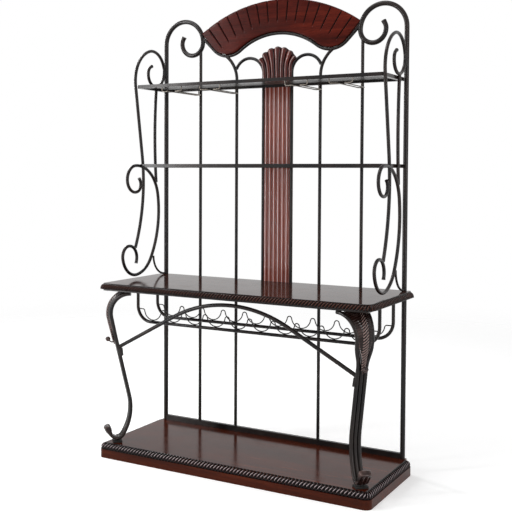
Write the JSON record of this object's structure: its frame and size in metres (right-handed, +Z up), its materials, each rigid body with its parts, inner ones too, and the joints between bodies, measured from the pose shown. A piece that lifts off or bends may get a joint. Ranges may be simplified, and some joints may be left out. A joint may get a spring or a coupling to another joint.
{
  "type": "bakers rack",
  "caption": "Tall bakers rack: dark scrolled iron frame, wood base, rope-edged wood counter, two upper shelves, wine rack, stemware hangers, reeded centre panel and fan-carved crest.",
  "frame": {"origin": "centre of the bounding box, at floor level", "axes": "X to the right, Y to the back (front is -Y), Z up"},
  "size_m": [1.362, 0.504, 2.13],
  "materials": {
    "iron": "black-bronze paint, satin",
    "cast_iron": "black-bronze paint, satin, rubbed high spots",
    "shelf_sheet": "satin",
    "base_wood": "dark mahogany, gloss lacquer",
    "counter_wood": "dark mahogany, gloss lacquer",
    "panel_wood": "dark cherry, satin lacquer",
    "screw": "blackened",
    "pad": "matte"
  },
  "bodies": {
    "root": {"back_post_left": "iron", "back_post_right": "iron", "back_rail": "iron", "back_rod_inner_left": "iron", "back_rod_inner_right": "iron", "back_rod_outer_left": "iron", "back_rod_outer_right": "iron", "base_rope_front": "base_wood", "base_rope_left": "base_wood", "base_rope_right": "base_wood", "base_slab": "base_wood", "counter_front_iron": "iron", "counter_lugs": "iron", "counter_rope_front": "counter_wood", "counter_rope_left": "counter_wood", "counter_rope_right": "counter_wood", "counter_screws": "screw", "counter_shelf": "counter_wood", "crest_board": "panel_wood", "crest_rail": "iron", "front_brace": "iron", "leg_leaf_left": "cast_iron", "leg_leaf_right": "cast_iron", "leg_pads": "pad", "leg_toe_left": "cast_iron", "leg_toe_right": "cast_iron", "leg_tube_back_left": "iron", "leg_tube_back_right": "iron", "leg_tube_front_left": "iron", "leg_tube_front_right": "iron", "leg_tube_middle_left": "iron", "leg_tube_middle_right": "iron", "mid_shelf_frame": "iron", "mid_shelf_sheet": "shelf_sheet", "panel_rod_left": "iron", "panel_rod_right": "iron", "rack_bar_front": "iron", "rack_bar_rear": "iron", "rack_flanges": "iron", "rack_wave_front": "iron", "rack_wave_rear": "iron", "reeded_panel": "panel_wood", "shell_finial": "panel_wood", "side_bow_left": "iron", "side_bow_right": "iron", "side_c_scroll_left": "iron", "side_c_scroll_right": "iron", "side_foot_rod_left": "iron", "side_foot_rod_right": "iron", "side_rear_bar_left": "iron", "side_rear_bar_right": "iron", "side_strut_left": "iron", "side_strut_right": "iron", "stem_hanger_inner_left": "iron", "stem_hanger_inner_right": "iron", "stem_hanger_outer_left": "iron", "stem_hanger_outer_right": "iron", "top_shelf_frame": "iron", "top_shelf_sheet": "shelf_sheet"}
  },
  "joints": []
}
